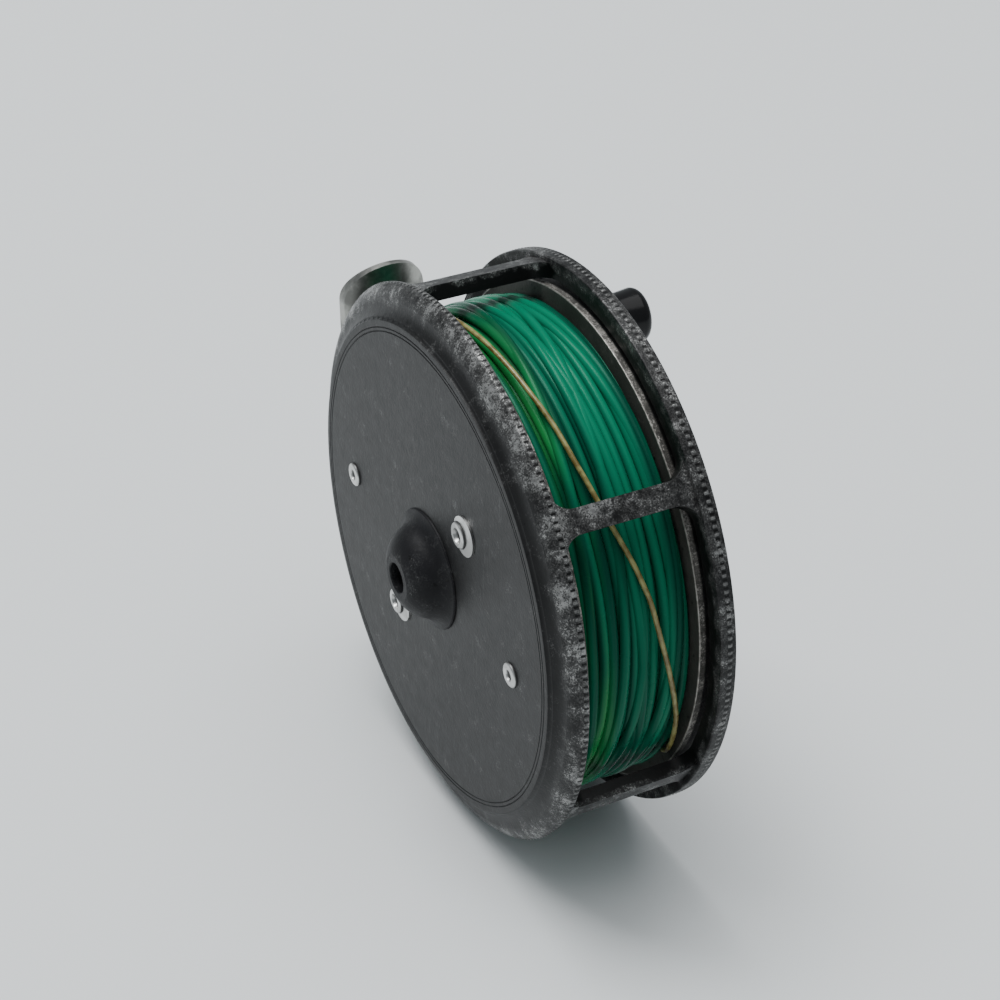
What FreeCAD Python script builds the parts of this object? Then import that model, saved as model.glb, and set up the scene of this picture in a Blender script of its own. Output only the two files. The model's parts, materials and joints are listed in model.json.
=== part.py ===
"""Fly reel: a cast cage with a pillared rim, a check mechanism in its back plate,
and a line spool that turns on a fixed spindle.

Every sub-part is drawn in spindle coordinates: X runs along the spindle from the
back plate towards the handle, Y points from the spindle to the foot, Z is up, and
the origin is on the spindle axis halfway across the cage.  The last step moves the
whole reel so that the row origin lies on the axis of the rod that the foot sits on.
"""
import FreeCAD, Part
import math
import os
import Sketcher

from FreeCAD import Placement, Rotation, Vector

os.makedirs("parts", exist_ok=True)
doc = FreeCAD.newDocument("fly_reel")

# --------------------------------------------------------------------------
# Driving dimensions, in millimetres and degrees
# --------------------------------------------------------------------------
SIZES = [
    # cage casting
    ("rim_radius", 40.5, "outside of the back rim"),
    ("ring_radius", 40.8, "outside of the far ring"),
    ("cage_half", 10.9, "cage middle to the back rim's inner edge and to the ring's outer face"),
    ("cage_bore", 37.8, "inside radius of the ring and of the pillars"),
    ("plate_face", -14.5, "X of the back plate's flat outer face"),
    ("plate_wall", 1.8, "thickness of the back plate"),
    ("ring_width", 2.4, "width of the far ring"),
    ("pillar_width", 3.4, "width of a pillar at its middle"),
    ("pillar_radius", 40.0, "outer radius of the pillars"),
    ("pillar_flare", 2.8, "radius of the fillets that join a pillar to the rims"),
    ("pillar_top", 16.0, "angle of the upper pillar, from up towards the foot"),
    ("pillar_front", -52.0, "angle of the pillar above the line window"),
    ("pillar_low", -121.0, "angle of the pillar below the line window"),
    ("pillar_back", 170.0, "angle of the lowest pillar, on the foot side"),
    ("groove_radius", 34.5, "middle of the two engraved rings on the back plate"),
    # foot
    ("rod_axis_offset", 49.7, "spindle axis to the rod axis"),
    ("saddle_radius", 8.0, "radius of the foot's rod saddle"),
    ("foot_wall", 1.2, "thickness of the foot"),
    ("foot_middle", -1.0, "X of the foot's middle, level with the middle of the whole frame"),
    ("foot_width", 13.3, "width of the foot"),
    ("foot_length", 52.8, "length of the foot"),
    ("foot_screw_gap", 13.0, "distance between the two foot screws"),
    # spindle and its boss
    ("spindle_radius", 2.5, "running surface of the spindle"),
    ("spindle_tip", 10.7, "X of the spindle's free end"),
    ("stub_radius", 2.0, "spindle stub inside the plate and the boss"),
    ("boss_radius", 8.9, "foot of the tapered boss"),
    ("boss_height", 5.0, "height of the tapered boss"),
    ("boss_hole", 2.2, "screw hole in the boss tip"),
    # check mechanism
    ("post_reach", 16.3, "spindle axis to each pawl post"),
    ("post_angle", -41.5, "angle of the working pawl's post"),
    ("post_radius", 1.3, "pawl post"),
    ("rivet_reach", 25.45, "spindle axis to each spring-block rivet"),
    ("rivet_angle", -93.3, "angle of the working spring block's rivet"),
    ("pawl_reach", 7.95, "pawl pivot to pawl tip"),
    ("spare_swing", 60.0, "angle that the spare pawl is parked at"),
    ("gear_tip", 9.2, "ratchet gear tip radius"),
    ("gear_root", 8.0, "ratchet gear root radius"),
    ("gear_teeth", 24, "ratchet gear teeth"),
    # spool
    ("flange_radius", 37.0, "outside of both spool flanges"),
    ("spool_back", -9.9, "X of the rear flange's outer face"),
    ("spool_front", 8.35, "X of the front plate's outer face"),
    ("flange_wall", 0.85, "thickness of the spool flanges"),
    ("spool_lip", 10.6, "X of the front plate's raised rim"),
    ("arbor_radius", 12.5, "outside of the arbor"),
    ("hub_radius", 5.2, "outside of the hub tube"),
    ("bush_radius", 3.6, "outside of the bushes"),
    ("bush_bore", 2.55, "bore of the bushes, running on the spindle"),
    ("backing_radius", 22.0, "outside of the backing"),
    ("winding_radius", 35.2, "outside of the wound fly line"),
    ("leader_radius", 0.36, "leader"),
    # latch
    ("housing_radius", 9.5, "outside of the latch housing"),
    ("latch_travel", 1.2, "travel of the latch lever"),
    # handle
    ("handle_reach", 28.1, "spindle axis to the handle pin"),
    ("handle_angle", 20.6, "angle of the handle at rest"),
    ("knob_end", 24.7, "X of the handle knob's end"),
    ("knob_radius", 4.1, "radius of the knob near its end"),
    ("pin_radius", 1.5, "handle pin"),
]

sheet = doc.addObject("Spreadsheet::Sheet", "Sizes")
for row, (alias, value, note) in enumerate(SIZES, start=1):
    sheet.set(f"A{row}", note)
    sheet.set(f"B{row}", str(value))
    sheet.setAlias(f"B{row}", alias)
doc.recompute()
VALUES = {alias: value for alias, value, note in SIZES}


class Dim:
    """A length that keeps its number together with the spreadsheet formula behind it."""

    def __init__(self, value, text):
        self.value = value
        self.text = text

    def __add__(self, other):
        other = as_dim(other)
        return Dim(self.value + other.value, f"({self.text} + {other.text})")

    def __sub__(self, other):
        other = as_dim(other)
        return Dim(self.value - other.value, f"({self.text} - {other.text})")

    def __mul__(self, other):
        other = as_dim(other)
        return Dim(self.value * other.value, f"({self.text} * {other.text})")

    def __neg__(self):
        return Dim(-self.value, f"(0 - {self.text})")

    __radd__ = __add__
    __rmul__ = __mul__


def as_dim(number):
    """A Dim stays as it is, and a plain number becomes one."""
    if isinstance(number, Dim):
        return number
    return Dim(float(number), f"({float(number)})" if number < 0 else str(float(number)))


def size(alias):
    """The named driving dimension."""
    return Dim(VALUES[alias], f"Sizes.{alias}")


# --------------------------------------------------------------------------
# Sketch and feature helpers
# --------------------------------------------------------------------------
def new_body(name):
    return doc.addObject("PartDesign::Body", name)


def new_sketch(body, role, name, lift=0.0):
    """A sketch on one of the body's own origin planes, raised along its normal by lift."""
    plane = [item for item in body.Origin.OriginFeatures if item.Role == role][0]
    sketch = body.newObject("Sketcher::SketchObject", name)
    sketch.AttachmentSupport = (plane, [""])
    sketch.MapMode = "FlatFace"
    lift = as_dim(lift)
    sketch.AttachmentOffset = Placement(Vector(0, 0, lift.value), Rotation())
    sketch.setExpression("AttachmentOffset.Base.z", lift.text)
    return sketch


def pin_coordinate(sketch, kind, geometry, spot, dim):
    """Fix one coordinate of a sketch point to a formula, or to an axis when it is zero."""
    if dim.value == 0.0:
        axis = -2 if kind == "DistanceX" else -1
        sketch.addConstraint(Sketcher.Constraint("PointOnObject", geometry, spot, axis))
        return
    index = sketch.addConstraint(Sketcher.Constraint(kind, geometry, spot, dim.value))
    name = f"c{index}"
    sketch.renameConstraint(index, name)
    sketch.setExpression(f"Constraints.{name}", dim.text)


def pin_radius(sketch, geometry, dim):
    index = sketch.addConstraint(Sketcher.Constraint("Radius", geometry, dim.value))
    name = f"c{index}"
    sketch.renameConstraint(index, name)
    sketch.setExpression(f"Constraints.{name}", dim.text)


def pin_arc(sketch, index, start, end, radius):
    """Fix an arc by its radius, or by its centre's height when it is a level half circle."""
    chord = abs(end[0].value - start[0].value)
    if start[1].value == end[1].value and abs(chord - 2 * radius.value) < 1e-6:
        pin_coordinate(sketch, "DistanceY", index, 3, end[1])
    else:
        pin_radius(sketch, index, radius)


def arc_between(start, end, radius, turn):
    """The arc from start to end, anticlockwise for turn 1 and clockwise for turn -1."""
    half = (end - start) * 0.5
    drop = math.sqrt(max(radius ** 2 - half.Length ** 2, 0.0))
    left = Vector(-half.y, half.x, 0).normalize()
    centre = start + half + left * drop * turn
    first, last = (start, end) if turn > 0 else (end, start)
    angles = [math.atan2(point.y - centre.y, point.x - centre.x) for point in (first, last)]
    if angles[1] < angles[0]:
        angles[1] += 2 * math.pi
    return Part.ArcOfCircle(Part.Circle(centre, Vector(0, 0, 1), radius), *angles)


def draw_outline(sketch, steps):
    """A closed outline.  Each step is (u, v) for a straight run to that point, or
    (u, v, radius, turn) for an arc to it.  The last step closes on the first point."""
    points = [(as_dim(step[0]), as_dim(step[1])) for step in steps]
    spots = []
    for number, step in enumerate(steps):
        begin, end = points[number - 1], points[number]
        start = Vector(begin[0].value, begin[1].value, 0)
        finish = Vector(end[0].value, end[1].value, 0)
        if len(step) == 2:
            index = sketch.addGeometry(Part.LineSegment(start, finish))
            spots.append((index, 1, 2))
            continue
        radius, turn = as_dim(step[2]), step[3]
        index = sketch.addGeometry(arc_between(start, finish, radius.value, turn))
        spots.append((index, 1, 2) if turn > 0 else (index, 2, 1))
    for number, (index, first, last) in enumerate(spots):
        before = spots[number - 1]
        sketch.addConstraint(Sketcher.Constraint("Coincident", before[0], before[2], index, first))
    for number, (index, first, last) in enumerate(spots):
        pin_coordinate(sketch, "DistanceX", index, last, points[number][0])
        pin_coordinate(sketch, "DistanceY", index, last, points[number][1])
        if len(steps[number]) == 4:
            pin_arc(sketch, index, points[number - 1], points[number], as_dim(steps[number][2]))


def draw_circle(sketch, u, v, radius):
    u, v, radius = as_dim(u), as_dim(v), as_dim(radius)
    circle = Part.Circle(Vector(u.value, v.value, 0), Vector(0, 0, 1), radius.value)
    index = sketch.addGeometry(circle)
    pin_coordinate(sketch, "DistanceX", index, 3, u)
    pin_coordinate(sketch, "DistanceY", index, 3, v)
    pin_radius(sketch, index, radius)


def turned(name, steps):
    """A body turned about the X axis from an outline of (x, radius) steps."""
    body = new_body(name)
    sketch = new_sketch(body, "XY_Plane", f"{name}_profile")
    draw_outline(sketch, steps)
    revolve = body.newObject("PartDesign::Revolution", f"{name}_turned")
    revolve.Profile = sketch
    revolve.ReferenceAxis = (sketch, ["H_Axis"])
    revolve.Angle = 360
    doc.recompute()
    return body


def washer_steps(left, right, bore, radius):
    return [(left, bore), (right, bore), (right, radius), (left, radius)]


def padded(name, left, right, draw):
    """A body padded along X from left to right, whose outline draw() puts on the sketch."""
    left, right = as_dim(left), as_dim(right)
    body = new_body(name)
    sketch = new_sketch(body, "YZ_Plane", f"{name}_outline", left)
    draw(sketch)
    pad = body.newObject("PartDesign::Pad", f"{name}_pad")
    pad.Profile = sketch
    pad.Length = right.value - left.value
    pad.setExpression("Length", (right - left).text)
    doc.recompute()
    return body


def pocketed(body, name, top, depth, draw, count=1):
    """Cut a pocket that starts at X = top and goes towards -X, repeated around the X axis."""
    depth = as_dim(depth)
    before = body.Shape.Volume
    sketch = new_sketch(body, "YZ_Plane", f"{name}_outline", top)
    draw(sketch)
    pocket = body.newObject("PartDesign::Pocket", f"{name}_pocket")
    pocket.Profile = sketch
    pocket.Length = depth.value
    pocket.setExpression("Length", depth.text)
    doc.recompute()
    if count > 1:
        pattern = body.newObject("PartDesign::PolarPattern", f"{name}_ring")
        pattern.Originals = [pocket]
        pattern.Axis = (sketch, ["N_Axis"])
        pattern.Angle = 360
        pattern.Occurrences = count
        body.Tip = pattern
        doc.recompute()
    if body.Shape.Volume > before - 1e-4:
        raise RuntimeError(f"{name} cuts nothing")
    return body


def cylinder(name, left, length, radius, y=0.0, z=0.0):
    """A Part::Cylinder along X."""
    item = doc.addObject("Part::Cylinder", name)
    left, length, radius = as_dim(left), as_dim(length), as_dim(radius)
    y, z = as_dim(y), as_dim(z)
    item.Placement = Placement(Vector(left.value, y.value, z.value), Rotation(Vector(0, 1, 0), 90))
    item.setExpression("Radius", radius.text)
    item.setExpression("Height", length.text)
    item.setExpression("Placement.Base.x", left.text)
    item.setExpression("Placement.Base.y", y.text)
    item.setExpression("Placement.Base.z", z.text)
    return item


def drill(name, left, length, radius, angle, reach):
    """A cylinder along X at an angle and a reach round the spindle."""
    spot = at_reach(angle, reach).Base
    return cylinder(name, left, length, radius, round(spot.y, 6), round(spot.z, 6))


def cut(name, base, tool):
    """Part::Cut of two objects."""
    result = doc.addObject("Part::Cut", name)
    result.Base = base
    result.Tool = tool
    doc.recompute()
    return result


def fuse(name, items):
    """Part::MultiFuse of several objects."""
    result = doc.addObject("Part::MultiFuse", name)
    result.Shapes = items
    doc.recompute()
    return result


def group(name, items):
    """One node of several separate solids."""
    result = doc.addObject("Part::Compound", name)
    result.Links = items
    doc.recompute()
    return result


def about_spindle(angle):
    """Rotation that carries up (+Z) to the angle given, measured from up towards the foot."""
    return Placement(Vector(), Rotation(Vector(1, 0, 0), -angle))


def at_reach(angle, reach, swing=0.0):
    """Place a piece drawn about its own X axis at a reach and an angle round the spindle."""
    out = Placement(Vector(0, 0, reach), Rotation(Vector(1, 0, 0), swing))
    return about_spindle(angle).multiply(out)


NODES = []


def node(item, label, spot=None):
    """Register a finished sub-part and move it from spindle coordinates to the row frame."""
    item.Label = label
    shift = Placement(Vector(-VALUES["foot_middle"], -VALUES["rod_axis_offset"], 0), Rotation())
    if spot is None:
        item.Placement = shift
        item.setExpression("Placement.Base.x", "-Sizes.foot_middle")
        item.setExpression("Placement.Base.y", "-Sizes.rod_axis_offset")
    else:
        item.Placement = shift.multiply(spot)
    NODES.append(item)


# --------------------------------------------------------------------------
# Frame: cage casting
# --------------------------------------------------------------------------
FACE = size("plate_face")
INNER_FACE = FACE + size("plate_wall")
RIM = size("rim_radius")
RIM_EDGE = -size("cage_half")
POST_HOLE = size("post_radius") + 0.03
RIVET_RADIUS = 0.8


def back_plate():
    """Dished back plate: flat face, two engraved rings, ridge, hollow band and rounded rim."""
    groove = size("groove_radius")
    steps = [
        (INNER_FACE, size("stub_radius") + 0.03),
        (INNER_FACE, RIM - 4.2),
        (RIM_EDGE - 1.0, RIM - 2.8, 2.2, 1),
        (RIM_EDGE, RIM - 2.6),
        (RIM_EDGE, RIM - 0.12),
        (RIM_EDGE - 0.12, RIM, 0.12, 1),
        (RIM_EDGE - 0.55, RIM),
        (RIM_EDGE - 1.2, RIM - 0.45, 0.9, 1),
        (RIM_EDGE - 2.2, RIM - 2.1, 3.2, 1),
        (FACE + 0.5, RIM - 4.2, 3.0, -1),
        (FACE + 0.02, RIM - 4.75, 0.7, -1),
        (FACE, RIM - 5.0),
        (FACE, groove + 0.4),
        (FACE + 0.12, groove + 0.28),
        (FACE, groove + 0.16),
        (FACE, groove - 0.16),
        (FACE + 0.12, groove - 0.28),
        (FACE, groove - 0.4),
        (FACE, size("stub_radius") + 0.03),
    ]
    plate = turned("back_plate", steps)
    depth = size("plate_wall") + 2
    holes = []
    for label, radius in (("post", POST_HOLE), ("rivet", RIVET_RADIUS + 0.03)):
        angle = VALUES[f"{label}_angle"]
        reach = VALUES[f"{label}_reach"]
        for turn in (0, 180):
            holes.append(drill(f"{label}_hole_{turn}", FACE - 1, depth, radius, angle + turn, reach))
    return cut("drilled_plate", plate, fuse("plate_holes", holes))


def far_ring():
    """Ring at the open side of the cage, flat across its rim."""
    outer = size("cage_half")
    inner = outer - size("ring_width")
    bore = size("cage_bore")
    rim = size("ring_radius")
    steps = [
        (inner, bore),
        (outer, bore),
        (outer, rim - 0.3),
        (outer - 0.3, rim, 0.3, 1),
        (inner + 0.25, rim),
        (inner, rim - 0.25, 0.25, 1),
    ]
    return turned("far_ring", steps)


def flared_bar(half_width, flare, angle):
    """A bar between the rims: its ends widen in concave fillets, its faces follow the rim."""
    left = -VALUES["cage_half"]
    right = VALUES["cage_half"] - VALUES["ring_width"]
    root = 0.4
    half_root = half_width + flare
    corner = flare * (1 - math.sqrt(0.5))

    def point(x, across):
        return Vector(x, across, VALUES["cage_bore"] - 2.0)

    edges = []
    for side in (1, -1):
        end = right if side > 0 else left
        ends = [point(end + side * root, -side * half_root), point(end + side * root, side * half_root)]
        edges.append(Part.LineSegment(*ends).toShape())
        edges.append(Part.LineSegment(ends[1], point(end, side * half_root)).toShape())
        edges.append(Part.Arc(
            point(end, side * half_root),
            point(end - side * corner, side * (half_width + corner)),
            point(end - side * flare, side * half_width)).toShape())
        other = left if side > 0 else right
        edges.append(Part.LineSegment(
            point(end - side * flare, side * half_width),
            point(other + side * flare, side * half_width)).toShape())
        edges.append(Part.Arc(
            point(other + side * flare, side * half_width),
            point(other + side * corner, side * (half_width + corner)),
            point(other, side * half_root)).toShape())
        edges.append(Part.LineSegment(
            point(other, side * half_root),
            point(other - side * root, side * half_root)).toShape())
    face = Part.Face(Part.Wire(Part.__sortEdges__(edges)))
    bar = face.extrude(Vector(0, 0, 6.0))
    span = right - left + 2
    outer = Part.makeCylinder(VALUES["pillar_radius"], span, Vector(left - 1, 0, 0), Vector(1, 0, 0))
    inner = Part.makeCylinder(VALUES["cage_bore"], span, Vector(left - 1, 0, 0), Vector(1, 0, 0))
    shape = bar.common(outer.cut(inner))
    shape.Placement = about_spindle(angle)
    return shape


def bar_feature(name, half_width, angle):
    bar = doc.addObject("Part::Feature", name)
    bar.Shape = flared_bar(half_width, VALUES["pillar_flare"], angle)
    return bar


def foot_bridge():
    """Wide bar under the foot with a cradle block that the foot's back lies in."""
    bar = bar_feature("foot_bar", 8.5, 90.0)
    block = doc.addObject("Part::Box", "cradle_block")
    block.Length = 14.4
    block.Height = 19.0
    block.setExpression("Width", "Sizes.rod_axis_offset - Sizes.saddle_radius - 37.3")
    block.Placement = Placement(Vector(VALUES["foot_middle"] - 7.2, 38.0, -9.5), Rotation())
    bridge = fuse("bridge_blank", [bar, block])
    tool = doc.addObject("Part::Cylinder", "cradle_tool")
    tool.setExpression("Radius", "Sizes.saddle_radius + Sizes.foot_wall + 0.02")
    tool.Height = 60
    middle = VALUES["foot_middle"]
    tool.Placement = Placement(Vector(middle, VALUES["rod_axis_offset"], -30), Rotation())
    tool.setExpression("Placement.Base.x", "Sizes.foot_middle")
    tool.setExpression("Placement.Base.y", "Sizes.rod_axis_offset")
    return cut("foot_bridge", bridge, tool)


def foot_screw_tools(name, radius, deep, head_radius, head_face, rise=0.0):
    """The two foot screws' outer shape, with a countersink's mouth raised by rise."""
    outward = Vector(0, 1, 0)
    middle = VALUES["foot_middle"]
    cone_start = head_face - (head_radius - radius)
    tools = []
    for side in (-1, 1):
        z = side * VALUES["foot_screw_gap"] / 2
        shank = Part.makeCylinder(radius, cone_start - deep, Vector(middle, deep, z), outward)
        cone = Part.makeCone(
            radius, head_radius, head_face - cone_start, Vector(middle, cone_start, z), outward)
        tool = shank.fuse(cone)
        if rise:
            mouth = Part.makeCylinder(head_radius, rise, Vector(middle, head_face, z), outward)
            tool = tool.fuse(mouth)
        tools.append(tool)
    feature = doc.addObject("Part::Feature", name)
    feature.Shape = Part.makeCompound(tools)
    return feature


SADDLE_FLOOR = VALUES["rod_axis_offset"] - VALUES["saddle_radius"]


def frame_cage():
    pillars = [
        bar_feature(alias, VALUES["pillar_width"] / 2, VALUES[alias])
        for alias in ("pillar_top", "pillar_front", "pillar_low", "pillar_back")
    ]
    whole = fuse("cage_blank", [back_plate(), far_ring(), foot_bridge()] + pillars)
    holes = foot_screw_tools("bridge_screw_holes", 1.65, 36.0, 1.7, SADDLE_FLOOR + 2)
    node(cut("frame_cage", whole, holes), "frame_cage")


# --------------------------------------------------------------------------
# Frame: foot, spindle and boss
# --------------------------------------------------------------------------
def foot():
    """Curved foot with spoon-shaped ends, concave towards the rod."""
    radius = size("saddle_radius")
    back = radius + size("foot_wall")
    half = size("foot_width") * 0.5
    middle = size("foot_middle")
    axis = size("rod_axis_offset")
    lip = math.sqrt(VALUES["saddle_radius"] ** 2 - (VALUES["foot_width"] / 2) ** 2)
    back_lip = math.sqrt(
        (VALUES["saddle_radius"] + VALUES["foot_wall"]) ** 2 - (VALUES["foot_width"] / 2) ** 2)
    body = new_body("foot_blank")
    sketch = new_sketch(body, "XY_Plane", "foot_section", size("foot_length") * -0.5)
    draw_outline(sketch, [
        (middle - half, axis - back_lip),
        (middle + half, axis - back_lip, back, 1),
        (middle + half, axis - lip),
        (middle - half, axis - lip, radius, -1),
    ])
    pad = body.newObject("PartDesign::Pad", "foot_pad")
    pad.Profile = sketch
    pad.setExpression("Length", "Sizes.foot_length")
    doc.recompute()
    trim = new_body("foot_trim")
    sketch = new_sketch(trim, "XZ_Plane", "foot_plan", -60)
    straight = size("foot_length") * 0.5 - half
    draw_outline(sketch, [
        (middle + half, straight),
        (middle - half, straight, half, 1),
        (middle - half, -straight),
        (middle + half, -straight, half, 1),
    ])
    pad = trim.newObject("PartDesign::Pad", "foot_trim_pad")
    pad.Profile = sketch
    pad.Length = 40
    doc.recompute()
    spoon = doc.addObject("Part::Common", "foot_spoon")
    spoon.Base = body
    spoon.Tool = trim
    doc.recompute()
    holes = foot_screw_tools("foot_screw_holes", 1.55, 36.0, 2.6, SADDLE_FLOOR - 0.1, 2.0)
    node(cut("foot", spoon, holes), "foot")


def foot_screws():
    """Two countersunk screws with slots across their heads."""
    blanks = foot_screw_tools("foot_screw_blanks", 1.5, 38.0, 2.5, SADDLE_FLOOR - 0.15)
    slots = []
    for side in (-1, 1):
        slot = doc.addObject("Part::Box", f"foot_screw_slot_{side + 1}")
        slot.Length = 7.0
        slot.Width = 2.0
        slot.Height = 0.6
        z = side * VALUES["foot_screw_gap"] / 2
        left = VALUES["foot_middle"] - 3.5
        slot.Placement = Placement(Vector(left, SADDLE_FLOOR - 0.6, z - 0.3), Rotation())
        slots.append(slot)
    node(cut("foot_screws", blanks, fuse("foot_screw_slots", slots)), "foot_screws")


def spindle():
    """Steel spindle: stub through the plate, seat flange, running shaft, latch groove."""
    radius = size("spindle_radius")
    stub = size("stub_radius")
    tip = size("spindle_tip")
    steps = [
        (FACE - 1.4, 0),
        (tip, 0),
        (tip, radius - 0.6),
        (tip - 0.6, radius, 0.6, 1),
        (tip - 0.85, radius),
        (tip - 0.85, 1.3),
        (tip - 1.75, 1.3),
        (tip - 1.75, radius),
        (INNER_FACE + 0.9, radius),
        (INNER_FACE + 0.9, 6.0),
        (INNER_FACE, 6.0),
        (INNER_FACE, stub),
        (FACE - 1.4, stub),
    ]
    body = turned("spindle_blank", steps)
    hole = cylinder("spindle_tap", FACE - 1.5, 5.0, 1.05)
    node(cut("spindle", body, hole), "spindle")


def spindle_boss():
    """Tapered boss on the back plate: flared foot, hollow flank, rounded tip, screw hole."""
    tip = FACE - size("boss_height")
    radius = size("boss_radius")
    hole = size("boss_hole")
    steps = [
        (FACE, size("stub_radius") + 0.03),
        (FACE, radius),
        (FACE - 0.35, radius - 0.15, 0.4, 1),
        (FACE - 2.2, radius - 2.3, 3.2, -1),
        (tip, hole + 1.2, 4.9, 1),
        (tip, hole + 0.15),
        (tip + 0.15, hole),
        (FACE - 1.9, hole),
        (FACE - 1.9, 1.12),
        (FACE - 1.45, 1.12),
        (FACE - 1.45, size("stub_radius") + 0.03),
    ]
    node(turned("spindle_boss", steps), "spindle_boss")


def boss_screw():
    """Slotted screw deep in the boss tip, threaded into the spindle."""
    steps = [
        (FACE - 2.6, 0),
        (FACE + 3.2, 0),
        (FACE + 3.2, 1.0),
        (FACE - 1.92, 1.0),
        (FACE - 1.92, 1.75),
        (FACE - 2.6, 1.75),
    ]
    body = turned("boss_screw_blank", steps)
    slot = doc.addObject("Part::Box", "boss_screw_slot")
    slot.Length = 0.35
    slot.Width = 5.0
    slot.Height = 0.4
    slot.Placement = Placement(Vector(VALUES["plate_face"] - 2.62, -2.5, -0.2), Rotation())
    node(cut("boss_screw", body, slot), "boss_screw")


# --------------------------------------------------------------------------
# Frame: check mechanism
# --------------------------------------------------------------------------
PAWL_BACK = INNER_FACE + 0.2
PAWL_FRONT = INNER_FACE + 2.0


def paired(label, make, angle, reach):
    """Two copies of a small piece on opposite sides of the spindle, as one node."""
    items = []
    for turn in (0, 180):
        item = make(f"{label}_{turn}")
        item.Placement = at_reach(VALUES[angle] + turn, VALUES[reach])
        items.append(item)
    node(group(label, items), label)


def pawl_post(name):
    """Headed post: dimpled ring head outside, plain pin inside."""
    pin = size("post_radius")
    steps = [
        (FACE - 0.15, 0),
        (PAWL_FRONT + 0.4, 0),
        (PAWL_FRONT + 0.4, pin),
        (FACE - 0.3, pin),
        (FACE - 0.3, 1.9),
        (FACE - 0.5, 1.9),
        (FACE - 0.7, 1.65, 0.35, 1),
        (FACE - 0.7, 1.15),
        (FACE - 0.15, 0.95),
    ]
    return turned(name, steps)


def post_washer(name):
    """Half-moon washer under a post's head, offset to the window side of the reel."""
    def draw(sketch):
        draw_circle(sketch, -1.2, 0, 2.9)
    body = padded(name, FACE - 0.28, FACE, draw)
    pocketed(body, f"{name}_bore", FACE + 1, 3, lambda sketch: draw_circle(sketch, 0, 0, POST_HOLE))

    def flat(sketch):
        draw_outline(sketch, [(4, -4), (4, 4), (0.95, 4), (0.95, -4)])
    return pocketed(body, f"{name}_flat", FACE + 1, 3, flat)


def post_washers():
    """Both washers keep the same way up, so each is turned back by its post's angle."""
    items = []
    for turn in (0, 180):
        item = post_washer(f"post_washer_{turn}")
        angle = VALUES["post_angle"] + turn
        item.Placement = at_reach(angle, VALUES["post_reach"], angle - 20)
        items.append(item)
    node(group("post_washers", items), "post_washers")


def plate_rivet(name):
    """Rivet of a spring block: dimpled head outside, shank through the plate."""
    steps = [
        (FACE - 0.1, 0),
        (INNER_FACE + 1.9, 0),
        (INNER_FACE + 1.9, RIVET_RADIUS),
        (FACE, RIVET_RADIUS),
        (FACE, 1.8),
        (FACE - 0.1, 1.8),
        (FACE - 0.4, 1.5, 0.35, 1),
        (FACE - 0.4, 0.85),
        (FACE - 0.1, 0.7),
    ]
    return turned(name, steps)


def spring_block(name):
    """Block that clamps the root of a leaf spring to the inside of the plate."""
    def draw(sketch):
        draw_outline(sketch, [(-2.4, -1.9), (2.4, -1.9), (2.4, 1.9), (-2.4, 1.9)])
    body = padded(name, INNER_FACE + 0.02, INNER_FACE + 1.9, draw)

    def bore(sketch):
        draw_circle(sketch, 0, 0, RIVET_RADIUS + 0.03)
    return pocketed(body, f"{name}_bore", INNER_FACE + 3, 5, bore)


def pawl_clip(name):
    """Open retaining ring on a post, in front of its pawl."""
    pin = size("post_radius")
    body = turned(name, washer_steps(PAWL_FRONT + 0.08, PAWL_FRONT + 0.33, pin + 0.01, 2.3))

    def mouth(sketch):
        draw_outline(sketch, [(-0.8, 0), (0.8, 0), (0.8, 4), (-0.8, 4)])
    return pocketed(body, f"{name}_mouth", PAWL_FRONT + 2, 4, mouth)


def pawl(name):
    """Pawl drawn about its pivot, with the tooth pointing down."""
    reach = size("pawl_reach")

    def draw(sketch):
        draw_outline(sketch, [
            (-2.2, 1.9),
            (-2.6, -0.6, 2.9, 1),
            (-0.5, -reach + 0.45),
            (-0.2, -reach),
            (0.2, -reach),
            (0.5, -reach + 0.45),
            (2.6, -0.6),
            (2.2, 1.9, 2.9, 1),
        ])
    body = padded(name, PAWL_BACK, PAWL_FRONT, draw)

    def bore(sketch):
        draw_circle(sketch, 0, 0, size("post_radius") + 0.05)
    return pocketed(body, f"{name}_bore", PAWL_FRONT + 1, 4, bore)


def leaf_spring(name, end_angle, end_reach):
    """Bowed leaf from a spring block to its pawl, drawn round the spindle from up."""
    root_angle = VALUES["rivet_angle"] - VALUES["post_angle"]
    thick = 0.35

    left = INNER_FACE.value + 0.35

    def spot(angle, reach):
        angle = math.radians(angle)
        return Vector(left, reach * math.sin(angle), reach * math.cos(angle))

    root = spot(root_angle + 5.6, VALUES["rivet_reach"] - 0.3)
    tip = spot(end_angle, end_reach)
    chord_middle = (root + tip) * 0.5
    outward = (chord_middle - Vector(left, 0, 0)).normalize() * thick
    middle = chord_middle + outward * (1.6 / thick)
    inner = Part.Arc(root, middle, tip).toShape()
    outer = Part.Arc(root + outward, middle + outward, tip + outward).toShape()
    ends = [Part.LineSegment(root, root + outward).toShape(), Part.LineSegment(tip, tip + outward).toShape()]
    face = Part.Face(Part.Wire(Part.__sortEdges__([inner, outer] + ends)))
    feature = doc.addObject("Part::Feature", name)
    feature.Shape = face.extrude(Vector(1.3, 0, 0))
    return feature


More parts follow.
